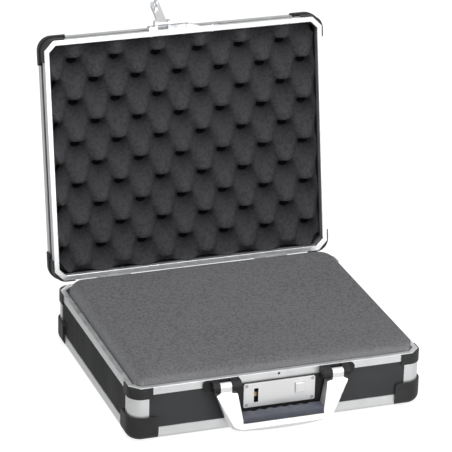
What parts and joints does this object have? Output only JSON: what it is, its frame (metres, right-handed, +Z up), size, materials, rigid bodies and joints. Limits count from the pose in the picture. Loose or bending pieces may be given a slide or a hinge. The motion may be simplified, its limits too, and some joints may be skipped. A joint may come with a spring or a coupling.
{
  "type": "miniature carry case",
  "caption": "Aluminium-framed carry case with hinged lid, hasp, push-button lock, folding handle, flat foam block in the base and egg-crate foam in the lid.",
  "frame": {"origin": "on the plane the four corner caps stand on, under the centre of the base", "axes": "+X to the right seen from the front, +Y to the back where the hinges are, +Z up"},
  "size_m": [0.335, 0.3865, 0.3659],
  "materials": {
    "aluminium": "satin anodised",
    "board": "fine matt laminate over board",
    "corner_plastic": "satin moulded",
    "fitting_plastic": "satin moulded",
    "base_foam": "open-cell soft foam",
    "lid_foam": "open-cell soft foam",
    "lock_silver": "satin silver",
    "handle_silver": "semi-gloss silver",
    "grip_soft": "soft touch",
    "hasp_plated": "polished plating",
    "hinge_steel": "zinc plated",
    "dark_screw": "blackened steel",
    "slider_brass": "satin"
  },
  "bodies": {
    "base": {"base_rim_frame": "aluminium", "base_edge_front": "aluminium", "base_edge_rear": "aluminium", "base_edge_left": "aluminium", "base_edge_right": "aluminium", "base_corner_posts": "aluminium", "base_bottom_panel": "board", "base_front_panel": "board", "base_rear_panel": "board", "base_left_panel": "board", "base_right_panel": "board", "base_ball_corners": "corner_plastic", "base_rim_corner_bands": "corner_plastic", "lock_housing": "fitting_plastic", "handle_bracket_left": "fitting_plastic", "handle_bracket_right": "fitting_plastic", "foam_base_pad": "base_foam", "foam_block": "base_foam", "lock_plate": "lock_silver", "hinge_left_base_leaf": "hinge_steel", "hinge_right_base_leaf": "hinge_steel", "hinge_pins": "hinge_steel", "hinge_base_rivets": "hinge_steel", "handle_pins": "hinge_steel", "lock_screws": "hinge_steel", "rim_screw": "dark_screw", "bracket_screws": "dark_screw", "button_spring": "dark_screw"},
    "lid": {"lid_rim_frame": "aluminium", "lid_edge_front": "aluminium", "lid_edge_rear": "aluminium", "lid_edge_left": "aluminium", "lid_edge_right": "aluminium", "lid_corner_posts": "aluminium", "lid_top_panel": "board", "lid_front_panel": "board", "lid_rear_panel": "board", "lid_left_panel": "board", "lid_right_panel": "board", "lid_ball_corners": "corner_plastic", "lid_rim_corner_bands": "corner_plastic", "foam_egg_crate": "lid_foam", "hinge_lid_rivets": "hinge_steel", "hinge_left_lid_leaf": "hinge_steel", "hinge_right_lid_leaf": "hinge_steel", "hasp_plate": "hasp_plated", "hasp_rivets": "hasp_plated", "hasp_pin": "hasp_plated"},
    "hasp": {"hasp_arm": "hasp_plated"},
    "handle": {"handle_frame": "handle_silver", "handle_grip": "grip_soft"},
    "button": {"lock_button": "lock_silver"},
    "slider": {"latch_slider": "slider_brass"}
  },
  "joints": [
    {"name": "lid_hinge", "type": "hinge", "parent": "base", "child": "lid", "pos_m": [0, 0.1425, 0.0592], "axis": [1, 0, 0], "range_deg": [0, 99.7]},
    {"name": "hasp_fold", "type": "hinge", "parent": "lid", "child": "hasp", "pos_m": [0, 0.19824, 0.34195], "axis": [1, 0, 0], "range_deg": [0, 146]},
    {"name": "handle_swing", "type": "hinge", "parent": "base", "child": "handle", "pos_m": [0, -0.146, 0.0563], "axis": [-1, 0, 0], "range_deg": [0, 95]},
    {"name": "button_press", "type": "slide", "parent": "base", "child": "button", "axis": [0, 1, 0], "range_m": [0, 0.0018], "stiffness_N_per_m": 800, "deforming": ["button_spring"]},
    {"name": "slider_travel", "type": "slide", "parent": "base", "child": "slider", "axis": [1, 0, 0], "range_m": [0, 0.0027]}
  ],
  "couplings": [
    {"joint": "slider_travel", "follows": "button_press", "ratio": 1.5}
  ]
}
